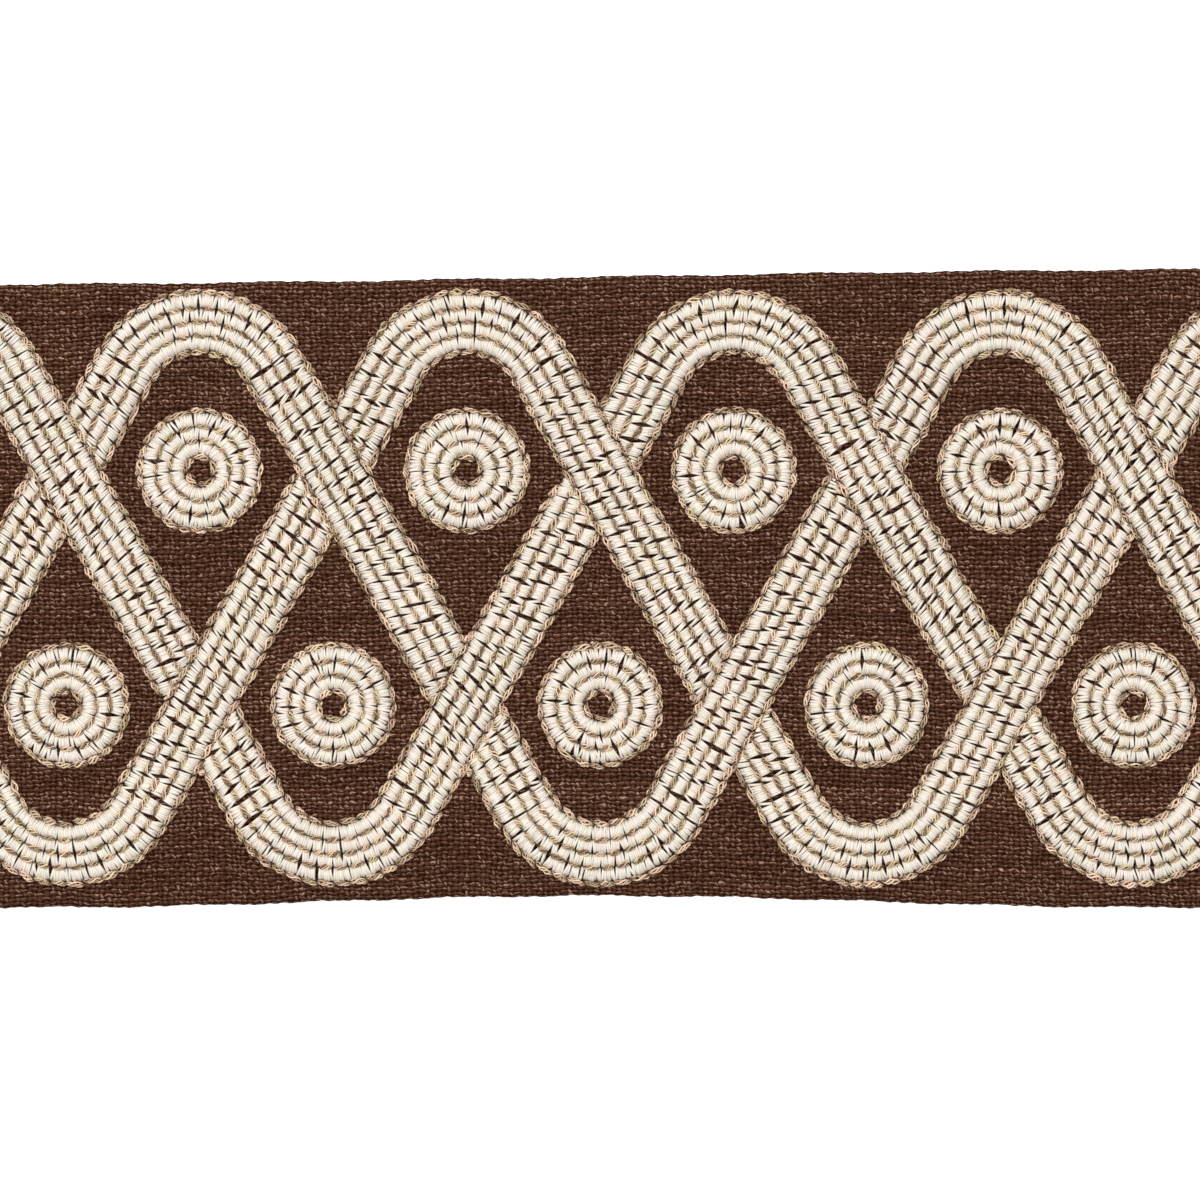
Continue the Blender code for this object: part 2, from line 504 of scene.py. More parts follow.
@dataclass(frozen=True)
class HalfPlane:
    """The side of a straight line, seen from above, on which stitches may lie.

    Attributes:
        normal: Direction into the allowed side.
        offset: Distance of the line from the origin along that direction.
    """

    normal: tuple[float, float]
    offset: float

    def clearance(self, x: np.ndarray, y: np.ndarray) -> np.ndarray:
        """Distance of each point inside the line, negative outside it."""
        return x * self.normal[0] + y * self.normal[1] - self.offset


@dataclass(frozen=True)
class HookPath:
    """The middle line of one plait hook: a bend with a short and a long straight leg.

    Attributes:
        plait: Sizes of the plait.
        centre: Place of the bend's middle along the tape.
        side: The edge that the bend lies near.
        closed: Whether the path meets itself.
        bend_looseness: How freely the threads slant in the bend.
        loosening: Length along a leg over which that grows to 1.
    """

    plait: PlaitForm
    centre: float
    side: Side
    closed: bool = False
    bend_looseness: float = 0.22
    loosening: float = 8 * MM

    @property
    def half_bend(self) -> float:
        """Length along the middle line from the bend's top to either leg."""
        return self.plait.bend_radius * self.plait.leg_angle

    @property
    def span(self) -> tuple[float, float]:
        """First and last distance along the middle line, measured from the bend's top."""
        plait = self.plait
        top = plait.bend_height + plait.bend_radius * math.cos(plait.leg_angle)
        short = (top - plait.crossing_height) / math.sin(plait.leg_angle)
        long = (top + plait.crossing_height) / math.sin(plait.leg_angle)
        return -self.half_bend - short, self.half_bend + long

    @property
    def joints(self) -> tuple[float, ...]:
        """Where the short leg, the bend and the long leg start and end."""
        start, end = self.span
        return start, -self.half_bend, self.half_bend, end

    def looseness(self, along: np.ndarray) -> np.ndarray:
        """How freely the threads slant: little in the bend, and fully some way along a leg."""
        share = np.clip((np.abs(along) - self.half_bend) / self.loosening, 0.0, 1.0)
        return self.bend_looseness + (1 - self.bend_looseness) * share

    def place(self, along: np.ndarray, offset: np.ndarray) -> tuple[np.ndarray, np.ndarray]:
        """Point at a distance along the middle line and an offset to its outer side.

        On the arc the point turns about the bend's centre. Beyond it, it runs on along the
        tangent.

        Args:
            along: Distances along the middle line, from the bend's top.
            offset: Offsets from it, positive away from the bend's centre.

        Returns:
            The x and y of each point.
        """
        plait = self.plait
        turn = -np.clip(along / plait.bend_radius, -plait.leg_angle, plait.leg_angle)
        run = along - np.clip(along, -self.half_bend, self.half_bend)
        reach = plait.bend_radius + offset
        x = -reach * np.sin(turn) + run * np.cos(turn)
        y = plait.bend_height + reach * np.cos(turn) + run * np.sin(turn)
        return x + self.centre, y * self.side.value

    def lengths(self, along: np.ndarray, offset: float) -> np.ndarray:
        """True length of the line at an offset: longer than the middle line only in the bend."""
        arc = np.clip(along, -self.half_bend, self.half_bend)
        return along + arc * offset / self.plait.bend_radius

    def limits(self, tuck: float) -> list[HalfPlane]:
        """The two mitre lines, along the edges of the bands that cross over both ends.

        Args:
            tuck: How far the stitches run in under the edge of the band that crosses.

        Returns:
            The allowed side of each mitre line.
        """
        plait = self.plait
        clear = plait.band_width / 2 - tuck
        level = plait.crossing_height
        found = []
        ends = ((-plait.period / 6, level, 1.0), (plait.period / 3, -level, -1.0))
        for shift, height, sign in ends:
            across = sign * math.sin(plait.leg_angle)
            upward = math.cos(plait.leg_angle)
            offset = (self.centre + shift) * across + height * upward + clear
            found.append(HalfPlane((across, upward * self.side.value), offset))
        return found


@dataclass(frozen=True)
class RingPath:
    """The middle line of a roundel: a circle.

    Attributes:
        plait: Sizes of the plait.
        centre: The circle's centre.
        start: The angle at which its stitching starts.
        closed: Whether the path meets itself.
        ring_looseness: How freely the threads slant.
    """

    plait: PlaitForm
    centre: tuple[float, float]
    start: float
    closed: bool = True
    ring_looseness: float = 0.3

    @property
    def span(self) -> tuple[float, float]:
        """First and last distance along the middle line."""
        return 0.0, 2 * math.pi * self.plait.roundel_radius

    @property
    def joints(self) -> tuple[float, ...]:
        """The circle is one stretch."""
        return self.span

    def looseness(self, along: np.ndarray) -> np.ndarray:
        """How freely the threads slant: little all the way round."""
        return np.full(np.shape(along), self.ring_looseness)

    def place(self, along: np.ndarray, offset: np.ndarray) -> tuple[np.ndarray, np.ndarray]:
        """Point at a distance along the circle and an offset to its outside.

        Args:
            along: Distances along the middle line.
            offset: Offsets from it, positive outwards.

        Returns:
            The x and y of each point.
        """
        turn = self.start + along / self.plait.roundel_radius
        reach = self.plait.roundel_radius + offset
        return self.centre[0] + reach * np.cos(turn), self.centre[1] + reach * np.sin(turn)

    def lengths(self, along: np.ndarray, offset: float) -> np.ndarray:
        """True length of the circle at an offset from the middle line."""
        return along * (1 + offset / self.plait.roundel_radius)

    def limits(self, tuck: float) -> list[HalfPlane]:
        """A roundel is whole, so nothing cuts it."""
        return []


def closed_tubes(
    centres: np.ndarray, radius: np.ndarray, sides: int, top: float
) -> tuple[np.ndarray, np.ndarray, np.ndarray]:
    """Tubes of a few sides about many equal centre lines, each closed at both ends.

    At each point of a line a polygon stands square to the line's direction. Its first axis is
    level and its second points up.

    Args:
        centres: Points of the lines, as (line, point, xyz).
        radius: The polygon's radius, as (line, point).
        sides: Corners of the polygon, 3 or more.
        top: Angle from straight up to the polygon's first corner.

    Returns:
        The vertices, the corner indices of all faces in order, and each face's corner count.
    """
    lines, points = centres.shape[:2]
    direction = np.gradient(centres, axis=1)
    direction /= np.linalg.norm(direction, axis=2, keepdims=True)
    level = np.cross(direction, np.array([0.0, 0.0, 1.0]))
    level /= np.maximum(np.linalg.norm(level, axis=2, keepdims=True), TINY)
    upward = np.cross(level, direction)
    turn = math.pi / 2 + top + np.arange(sides) * 2 * math.pi / sides
    reach = radius[:, :, None, None]
    ring = np.cos(turn)[:, None] * level[:, :, None] + np.sin(turn)[:, None] * upward[:, :, None]
    vertices = (centres[:, :, None] + reach * ring).reshape(-1, 3)
    line, point, corner = np.meshgrid(
        np.arange(lines), np.arange(points - 1), np.arange(sides), indexing="ij"
    )
    here = (line * points + point) * sides
    beside = (corner + 1) % sides
    walls = [here + corner, here + sides + corner, here + sides + beside, here + beside]
    quads = np.stack(walls, axis=-1).reshape(-1, 4)
    first = np.arange(lines)[:, None] * points * sides + np.arange(sides)
    last = first[:, ::-1] + (points - 1) * sides
    caps = np.concatenate([first, last])
    corners = np.concatenate([quads.ravel(), caps.ravel()])
    counts = np.concatenate([np.full(len(quads), 4), np.full(len(caps), sides)])
    return vertices, corners, counts


def mesh_piece(
    name: str, vertices: np.ndarray, corners: np.ndarray, counts: np.ndarray
) -> bpy.types.Object:
    """A smooth mesh object at the origin, filled from whole arrays.

    Args:
        name: The object's name.
        vertices: Points, as (vertex, xyz).
        corners: Vertex indices of the faces' corners, face after face.
        counts: Corners of each face.

    Returns:
        The new object.
    """
    mesh = bpy.data.meshes.new(name)
    mesh.vertices.add(len(vertices))
    mesh.vertices.foreach_set("co", vertices.astype(np.float32).ravel())
    mesh.loops.add(len(corners))
    mesh.loops.foreach_set("vertex_index", corners.astype(np.int32))
    mesh.polygons.add(len(counts))
    starts = np.concatenate([[0], np.cumsum(counts)[:-1]])
    mesh.polygons.foreach_set("loop_start", starts.astype(np.int32))
    mesh.polygons.foreach_set("use_smooth", np.ones(len(counts), bool))
    mesh.update(calc_edges=True)
    mesh.validate()
    piece = bpy.data.objects.new(name, mesh)
    bpy.context.scene.collection.objects.link(piece)
    return piece


def set_attribute(piece: bpy.types.Object, name: str, values: np.ndarray) -> None:
    """Store one number a vertex for the materials to read.

    Args:
        piece: The mesh object.
        name: The attribute's name.
        values: One number for each vertex.
    """
    attribute = piece.data.attributes.new(name, "FLOAT", "POINT")
    attribute.data.foreach_set("value", values.astype(np.float32))


class Signal:
    """A shader output whose arithmetic adds Math nodes to its tree."""

    def __init__(self, book: "NodeBook", socket: bpy.types.NodeSocket) -> None:
        """Wrap a socket.

        Args:
            book: The tree's node maker.
            socket: The output to wrap.
        """
        self.book = book
        self.socket = socket

    def _math(self, operation: str, *values: object) -> "Signal":
        """One Math node on the given values."""
        sockets = dict(enumerate(values))
        return self.book.signal("ShaderNodeMath", {"operation": operation}, sockets)

    def __add__(self, other: object) -> "Signal":
        """This plus the other."""
        return self._math("ADD", self, other)

    __radd__ = __add__

    def __sub__(self, other: object) -> "Signal":
        """This minus the other."""
        return self._math("SUBTRACT", self, other)

    def __rsub__(self, other: object) -> "Signal":
        """The other minus this."""
        return self._math("SUBTRACT", other, self)

    def __mul__(self, other: object) -> "Signal":
        """This times the other."""
        return self._math("MULTIPLY", self, other)

    __rmul__ = __mul__

    def __truediv__(self, other: object) -> "Signal":
        """This divided by the other."""
        return self._math("DIVIDE", self, other)

    def floor(self) -> "Signal":
        """The whole number below."""
        return self._math("FLOOR", self)

    def fraction(self) -> "Signal":
        """What is left above the whole number below."""
        return self._math("FRACT", self)

    def cosine(self) -> "Signal":
        """The cosine of this angle in radians."""
        return self._math("COSINE", self)

    def greatest(self, other: object) -> "Signal":
        """The greater of the two."""
        return self._math("MAXIMUM", self, other)

    def least(self, other: object) -> "Signal":
        """The lesser of the two."""
        return self._math("MINIMUM", self, other)

    def ramp(self, low: float, high: float) -> "Signal":
        """A smooth step from 0 to 1.

        Args:
            low: Where it starts.
            high: Where it ends.

        Returns:
            The step's height for this value.
        """
        settings = {"interpolation_type": "SMOOTHSTEP"}
        sockets = {"Value": self, "From Min": low, "From Max": high}
        return self.book.signal("ShaderNodeMapRange", settings, sockets)


class NodeBook:
    """Makes the nodes of one material."""

    def __init__(self, name: str) -> None:
        """Start a material with a Principled BSDF.

        Args:
            name: The material's name.
        """
        self.material = bpy.data.materials.new(name)
        self.material.use_nodes = True
        self.tree = self.material.node_tree
        self.shader = self.tree.nodes["Principled BSDF"]

    def node(self, kind: str, settings: dict, sockets: dict) -> bpy.types.Node:
        """Add a node.

        Args:
            kind: The node's type.
            settings: Properties, set before the sockets.
            sockets: Values or signals by the input's name or number.

        Returns:
            The new node.
        """
        made = self.tree.nodes.new(kind)
        for name, value in settings.items():
            setattr(made, name, value)
        for key, value in sockets.items():
            self.feed(made.inputs[key], value)
        return made

    def feed(self, entry: bpy.types.NodeSocket, value: object) -> None:
        """Link a signal to an input, or set the input to a value.

        Args:
            entry: The input.
            value: The signal or value.
        """
        if isinstance(value, Signal):
            self.tree.links.new(value.socket, entry)
        else:
            entry.default_value = value

    def signal(self, kind: str, settings: dict, sockets: dict, output: object = 0) -> Signal:
        """Add a node and wrap one of its outputs."""
        return Signal(self, self.node(kind, settings, sockets).outputs[output])

    def vector(self, x: object, y: object, z: object = 0.0) -> Signal:
        """A vector of three values."""
        return self.signal("ShaderNodeCombineXYZ", {}, {0: x, 1: y, 2: z})

    def noise(self, place: Signal, scale: float, detail: float = 2.0) -> Signal:
        """Soft noise about 0, at a number of features a unit of place."""
        sockets = {"Vector": place, "Scale": scale, "Detail": detail}
        return self.signal("ShaderNodeTexNoise", {}, sockets) - 0.5

    def chance(self, place: Signal) -> Signal:
        """A random number from 0 to 1 that changes with each whole place."""
        return self.signal("ShaderNodeTexWhiteNoise", {}, {"Vector": place})

    def blend(self, share: object, first: object, second: object) -> Signal:
        """Mix two colours.

        Args:
            share: How much of the second colour there is, from 0 to 1.
            first: A signal, or red, green and blue.
            second: A signal, or red, green and blue.

        Returns:
            The mixed colour.
        """
        made = self.node("ShaderNodeMix", {"data_type": "RGBA"}, {0: share})
        for entry, value in ((made.inputs[6], first), (made.inputs[7], second)):
            self.feed(entry, value if isinstance(value, Signal) else (*value, 1.0))
        return Signal(self, made.outputs[2])

    def attribute(self, name: str) -> Signal:
        """A number stored on the vertices."""
        settings = {"attribute_name": name}
        return self.signal("ShaderNodeAttribute", settings, {}, "Fac")

    def finish(self, **sockets: object) -> bpy.types.Material:
        """Set the Principled BSDF's inputs, their names written with underscores.

        Args:
            **sockets: Values or signals.

        Returns:
            The finished material.
        """
        for name, value in sockets.items():
            self.feed(self.shader.inputs[name.replace("_", " ")], value)
        return self.material


@dataclass(frozen=True)
class WovenLinen:
    """Brown plain weave of uneven yarns, on a UV map in metres along and across the cloth.

    Attributes:
        row_pitch: Distance between the yarns that run along the tape.
        column_pitch: Distance between the yarns that run across it.
        gap: Colour of the painted shade between the yarns and on their lower sides.
        yarn: Colour of most yarns.
        olive: Colour of the yarns in a few places.
        painted_highlight: Colour of the painted highlights on them, streaks and ticks.
        relief: Depth of the weave.
        slow_scale: Features a metre of the noise that bends the yarns and tints the cloth.
        quick_scale: Features a metre of the noise that moves the crosswise yarns.
        wave_scale: Features a metre of the noise that moves the lengthwise ones.
        jitter_scale: Features a metre of the noise that frays them.
        run_scale: Features a metre along a yarn of the noise that fades its painted highlight
            streaks.
        fibre_scale: Features a metre of the fibres.
        narrowness: Narrowness of a yarn's arch.
        variety: How much that varies from yarn to yarn.
        highlight_streak_narrowness: Narrowness of the painted highlight streaks.
        highlight_tick_narrowness: Narrowness of the painted highlight ticks.
        shade: How deep the shade on a yarn's lower side is.
        tone: The colour's usual strength.
        column_sway: How far the slow, quick and fraying noise moves the crosswise yarns.
        row_sway: How far the slow noise and the waves move the lengthwise ones.
        roughness: Roughness of the yarns.
    """

    row_pitch: float = 0.78 * MM
    column_pitch: float = 0.98 * MM
    gap: tuple[float, float, float] = (0.0175, 0.0046, 0.0016)
    yarn: tuple[float, float, float] = (0.071, 0.030, 0.018)
    olive: tuple[float, float, float] = (0.066, 0.036, 0.0125)
    painted_highlight: tuple[float, float, float] = (0.43, 0.275, 0.205)
    relief: float = 0.20 * MM
    slow_scale: float = 90.0
    quick_scale: float = 450.0
    wave_scale: float = 750.0
    jitter_scale: float = 800.0
    run_scale: float = 130.0
    fibre_scale: float = 1900.0
    narrowness: float = 2.3
    variety: float = 0.4
    highlight_streak_narrowness: float = 7.5
    highlight_tick_narrowness: float = 7.0
    shade: float = 0.65
    tone: float = 1.10
    column_sway: tuple[float, float, float] = (1.5, 1.5, 0.7)
    row_sway: tuple[float, float] = (2.0, 1.35)
    roughness: float = 0.9

    def build(self) -> bpy.types.Material:
        """Height is the higher of two sets of arched yarns that take turns on top.

        Each yarn is round across and waves along its length by a cosine, and the two sets'
        waves are opposite at every crossing. Slow noise bends the yarns, and each yarn has a
        tone of its own. Painted highlights lie as thin arched streaks on the upper side of the
        lengthwise yarns where they are on top, and as slanted ticks on some of the crosswise
        ones. Painted shade darkens the low places between the yarns and the lower side of
        each lengthwise yarn.

        Returns:
            The material.
        """
        book = NodeBook("woven_linen")
        uv = book.signal("ShaderNodeUVMap", {"uv_map": "cloth"}, {})
        parts = book.node("ShaderNodeSeparateXYZ", {}, {0: uv})
        along, across = (Signal(book, parts.outputs[i]) for i in (0, 1))
        slow = book.noise(uv, self.slow_scale)
        quick = book.noise(uv, self.quick_scale)
        wave = book.noise(book.vector(along + 3.0, across * 1.6), self.wave_scale)
        jitter = book.noise(book.vector(along, across + 5.0), self.jitter_scale)
        sways = self.column_sway
        column = along / self.column_pitch
        column = column + slow * sways[0] + quick * sways[1] + jitter * sways[2]
        row = across / self.row_pitch - slow * self.row_sway[0] + wave * self.row_sway[1]
        row_number, column_number = row.floor(), column.floor()
        row_part, column_part = row.fraction(), column.fraction()
        row_tone = book.chance(book.vector(row_number, 7.0))
        column_tone = book.chance(book.vector(column_number, 31.0))
        cell_tone = book.chance(book.vector(row_number, column_number, 3.0))
        highlight_tick_tone = book.chance(book.vector(row_number, column_number, 11.0))
        row_side = (row_part - 0.5) * (self.narrowness - self.variety * row_tone)
        column_side = (column_part - 0.5) * (self.narrowness - self.variety * column_tone)
        row_wave = ((column - 0.5 + row_number) * math.pi).cosine()
        column_wave = ((row - 0.5 + column_number) * math.pi).cosine()
        row_height = (1.0 - row_side * row_side).greatest(0.0) * 0.6 + row_wave * 0.4
        column_height = (1.0 - column_side * column_side).greatest(0.0) * 0.55
        column_height = column_height - column_wave * 0.4
        height = row_height.greatest(column_height)
        # Painted highlights: thin arched streaks on the upper side of the lengthwise yarns where
        # they are on top, and slanted ticks on some crosswise yarns.
        highlight_streak = row_part - 0.40 + row_wave * 0.08 + jitter * 0.6
        highlight_streak = highlight_streak * self.highlight_streak_narrowness
        highlight_streak = (1.0 - highlight_streak * highlight_streak).greatest(0.0) * row_wave.ramp(-0.5, 0.8)
        run = book.noise(book.vector(along, row_number * 0.013), self.run_scale)
        highlight_streak = highlight_streak * (0.25 + 0.75 * cell_tone) * (0.42 + 0.4 * row_tone + run * 0.8)
        middle = (row_part - 0.5) * 2.4
        highlight_tick = (column_part - 0.55 - (row_part - 0.5) * 0.8) * self.highlight_tick_narrowness
        highlight_tick = (1.0 - highlight_tick * highlight_tick).greatest(0.0) * (1.0 - middle * middle).greatest(0.0)
        highlight_tick = highlight_tick * column_wave.ramp(0.2, -0.7) * highlight_tick_tone.ramp(0.3, 1.0) * 0.8
        fibre = book.noise(book.vector(along, across * 3.0), self.fibre_scale)
        yarn = book.blend(slow.ramp(0.09, 0.22) * 0.5, self.yarn, self.olive)
        # Painted shade: the gap colour fills the low places between the yarns, and darkens the
        # lower side of each lengthwise yarn.
        colour = book.blend(height.ramp(0.24, 0.92), self.gap, yarn)
        colour = book.blend(row_part.ramp(0.60, 0.98) * self.shade, colour, self.gap)
        colour = book.blend(highlight_streak.greatest(highlight_tick).greatest(0.0).least(1.0), colour, self.painted_highlight)
        tone = self.tone + slow * 0.5 + fibre * 2.0 + (row_tone - 0.5) * 0.26
        scaled = book.node(
            "ShaderNodeVectorMath", {"operation": "SCALE"}, {0: colour, "Scale": tone}
        )
        relief = height + fibre * 0.3
        sockets = {"Height": relief, "Distance": self.relief, "Strength": 0.9}
        bump = book.signal("ShaderNodeBump", {}, sockets, "Normal")
        base = Signal(book, scaled.outputs[0])
        return book.finish(
            Base_Color=base, Roughness=self.roughness, Specular_IOR_Level=0.0, Normal=bump
        )


@dataclass(frozen=True)
class LaidThread:
    """Cream embroidery thread with a soft lustre, whose tone varies from thread to thread.

    Attributes:
        rosy: Palest colour where the thread is warmest.
        sallow: Palest colour where it is greenest.
        deep: Colour of the deepest threads, which also gives the painted shade at their ends.
        warmth_scale: Features a metre of the noise between the two palest colours.
        roughness: Roughness of the thread.
        lustre: Strength of its shine.
    """

    rosy: tuple[float, float, float] = (0.845, 0.755, 0.69)
    sallow: tuple[float, float, float] = (0.80, 0.76, 0.658)
    deep: tuple[float, float, float] = (0.62, 0.53, 0.42)
    warmth_scale: float = 260.0
    roughness: float = 0.45
    lustre: float = 0.35

    def build(self) -> bpy.types.Material:
        """Blend the pale colours by soft noise, and then the deep one by the stored tone, which
        holds each thread's own tone and the painted shade at its ends.

        Returns:
            The material.
        """
        book = NodeBook("laid_thread")
        place = book.signal("ShaderNodeTexCoord", {}, {}, "Object")
        warmth = book.noise(place, self.warmth_scale).ramp(-0.12, 0.12)
        pale = book.blend(warmth, self.sallow, self.rosy)
        colour = book.blend(book.attribute("tone"), self.deep, pale)
        return book.finish(
            Base_Color=colour, Roughness=self.roughness, Specular_IOR_Level=self.lustre
        )


@dataclass(frozen=True)
class TanThread:
    """Twisted tan thread of the stitches that hold the laid threads down.

    Attributes:
        rosy: Palest colour of the warmest stitches.
        sallow: Palest colour of the greenest stitches.
        deep: Colour of the deepest plies.
        roughness: Roughness of the thread.
        lustre: Strength of its shine.
    """

    rosy: tuple[float, float, float] = (0.90, 0.67, 0.50)
    # deep: Colour of the deepest plies, which also gives the painted shade between the plies and
    # at the stitches' ends.
    sallow: tuple[float, float, float] = (0.77, 0.63, 0.39)
    deep: tuple[float, float, float] = (0.21, 0.12, 0.058)
    roughness: float = 0.5
    lustre: float = 0.3

    def build(self) -> bpy.types.Material:
        """Blend by the hue stored on the stitches, and then by the tone stored on the plies.
        The tone holds each ply's own tone, the deep last ply that also stands in for the shade
        between the plies, and the painted shade at the stitches' ends.

        Returns:
            The material.
        """
        book = NodeBook("tan_thread")
        pale = book.blend(book.attribute("hue"), self.sallow, self.rosy)
        colour = book.blend(book.attribute("tone"), self.deep, pale)
        return book.finish(
            Base_Color=colour, Roughness=self.roughness, Specular_IOR_Level=self.lustre
        )


@dataclass(frozen=True)
class PaleFloor:
    """The plain surface that the tape lies on.

    Attributes:
        colour: Its colour.
        glow: Light of its own, as of a lit table, which keeps the shadows faint.
        roughness: Its roughness.
    """

    colour: tuple[float, float, float] = (0.93, 0.93, 0.93)
    glow: float = 0.35
    roughness: float = 0.9

    def build(self) -> bpy.types.Material:
        """One even matt colour.

        Returns:
            The material.
        """
        book = NodeBook("pale_floor")
        return book.finish(
            Base_Color=(*self.colour, 1.0),
            Roughness=self.roughness,
            Emission_Color=(1.0, 1.0, 1.0, 1.0),
            Emission_Strength=self.glow,
        )


@dataclass
class GroundTape:
    """The woven tape itself, one cloth with two turned-under hems.

    Attributes:
        form: The tape's outline and lie.
        station_pitch: Distance between sections along the tape.
        middle_points: Points across the part that lies flat.
        ramp_points: Points on each ramp.
        fold_steps: Steps round each fold.
        bore_points: Points round the inside of each fold.
    """

    form: TapeForm
    station_pitch: float = 0.49 * MM
    middle_points: int = 12
    ramp_points: int = 10
    fold_steps: int = 10
    bore_points: int = 5

    def half_section(self) -> tuple[np.ndarray, np.ndarray]:
        """One side's section, outwards below, round the fold and inwards on the face.

        Returns:
            Depths in from the edge and heights, and for each point whether it is on the face
            layer, which puckers.
        """
        form = self.form
        ramp = np.linspace(form.ramp_start, form.ramp_end, self.ramp_points)
        radius = (form.cloth + form.hem_lift) / 2
        bore = form.fold_gap / 2
        under = np.stack([ramp[::-1], form.rise(ramp[::-1])], axis=-1)
        turns = np.linspace(math.pi / 2, -math.pi / 2, self.bore_points)
        inside = np.stack([radius - bore * np.cos(turns), radius + bore * np.sin(turns)], axis=-1)
        raw = np.array([[form.hem_width, form.cloth], [form.hem_width, 0.0]])
        turns = np.linspace(-math.pi / 2, math.pi / 2, self.fold_steps + 1)
        outside = np.stack([1 - np.cos(turns), 1 + np.sin(turns)], axis=-1) * radius
        face = np.stack([ramp, form.cloth + form.rise(ramp)], axis=-1)
        lower = [np.ones(len(under)), np.zeros(len(inside) + len(raw))]
        upper = [np.linspace(0.0, 1.0, len(outside)) ** 2, np.ones(len(face))]
        return np.concatenate([under, inside, raw, outside, face]), np.concatenate(lower + upper)

    def build(self, finish: bpy.types.Material) -> bpy.types.Object:
        """Carry the section along the tape, following both edges, and close its ends.

        A section runs from the middle of the underside round the far hem, across the face,
        round the near hem and back. The UV map unrolls it: u is x, and v is the length
        along the section.

        Args:
            finish: The cloth's material.

        Returns:
            The finished piece.
        """
        form = self.form
        half, puckers = self.half_section()
        count = int(round(form.length / self.station_pitch)) + 1
        x = np.linspace(-form.length / 2, form.length / 2, count)[:, None]
        far = form.edge(Side.FAR, x) - half[:, 0] + form.serrated(x, half[:, 0])
        near = form.edge(Side.NEAR, x) + half[::-1, 0] - form.serrated(-x, half[::-1, 0])
        share = np.linspace(0.0, 1.0, self.middle_points + 2)[1:-1]
        face_middle = far[:, -1:] + (near[:, :1] - far[:, -1:]) * share
        under_middle = near[:, -1:] + (far[:, :1] - near[:, -1:]) * share
        y = np.concatenate([far, face_middle, near, under_middle], axis=1)
        flat = np.ones(self.middle_points)
        z = np.concatenate([half[:, 1], flat * form.cloth, half[::-1, 1], flat * 0.0])
        weight = np.concatenate([puckers, flat, puckers[::-1], flat])
        lift = pucker(x, y) * weight
        # Below the middle of each fold the pucker only lifts, so nothing sinks into the floor
        on_face = np.zeros(len(z), bool)
        on_face[len(half) - self.ramp_points - self.fold_steps // 2 :] = True
        on_face[-len(share) - len(half) + self.ramp_points + self.fold_steps // 2 :] = False
        z = z + np.where(on_face, lift, np.maximum(lift, 0.0))
        points = np.stack([np.broadcast_to(x, y.shape), y, z], axis=-1)
        size = y.shape[1]
        station, point = np.meshgrid(np.arange(count - 1), np.arange(size), indexing="ij")
        beside = (point + 1) % size
        walls = [
            station * size + point,
            station * size + beside,
            (station + 1) * size + beside,
            (station + 1) * size + point,
        ]
        quads = np.stack(walls, axis=-1).reshape(-1, 4)
        first = np.arange(size)[::-1]
        last = np.arange(size) + (count - 1) * size
        corners = np.concatenate([quads.ravel(), first, last])
        counts = np.concatenate([np.full(len(quads), 4), [size, size]])
        piece = mesh_piece("woven_tape", points.reshape(-1, 3), corners, counts)
        self.unroll(piece, points, quads)
        piece.data.materials.append(finish)
        return piece

    def unroll(self, piece: bpy.types.Object, points: np.ndarray, quads: np.ndarray) -> None:
        """Give the cloth its UV map in metres.

        Args:
            piece: The cloth.
            points: Its points, as (station, point, xyz).
            quads: Its wall faces.
        """
        size = points.shape[1]
        middle = points[len(points) // 2]
        steps = np.linalg.norm(np.diff(middle, axis=0, append=middle[:1]), axis=1)
        run = np.concatenate([[0.0], np.cumsum(steps)])
        corner_point = quads % size
        seam = np.array([0, 1, 1, 0])
        v = run[corner_point[:, :1] + seam]
        u = points.reshape(-1, 3)[quads, 0]
        caps = np.concatenate([np.arange(size)[::-1], np.arange(size)])
        cap_u = middle[caps, 2]
        u = np.concatenate([u.ravel(), cap_u])
        v = np.concatenate([v.ravel(), middle[caps, 1]])
        layer = piece.data.uv_layers.new(name="cloth")
        layer.data.foreach_set("uv", np.stack([u, v], axis=-1).astype(np.float32).ravel())


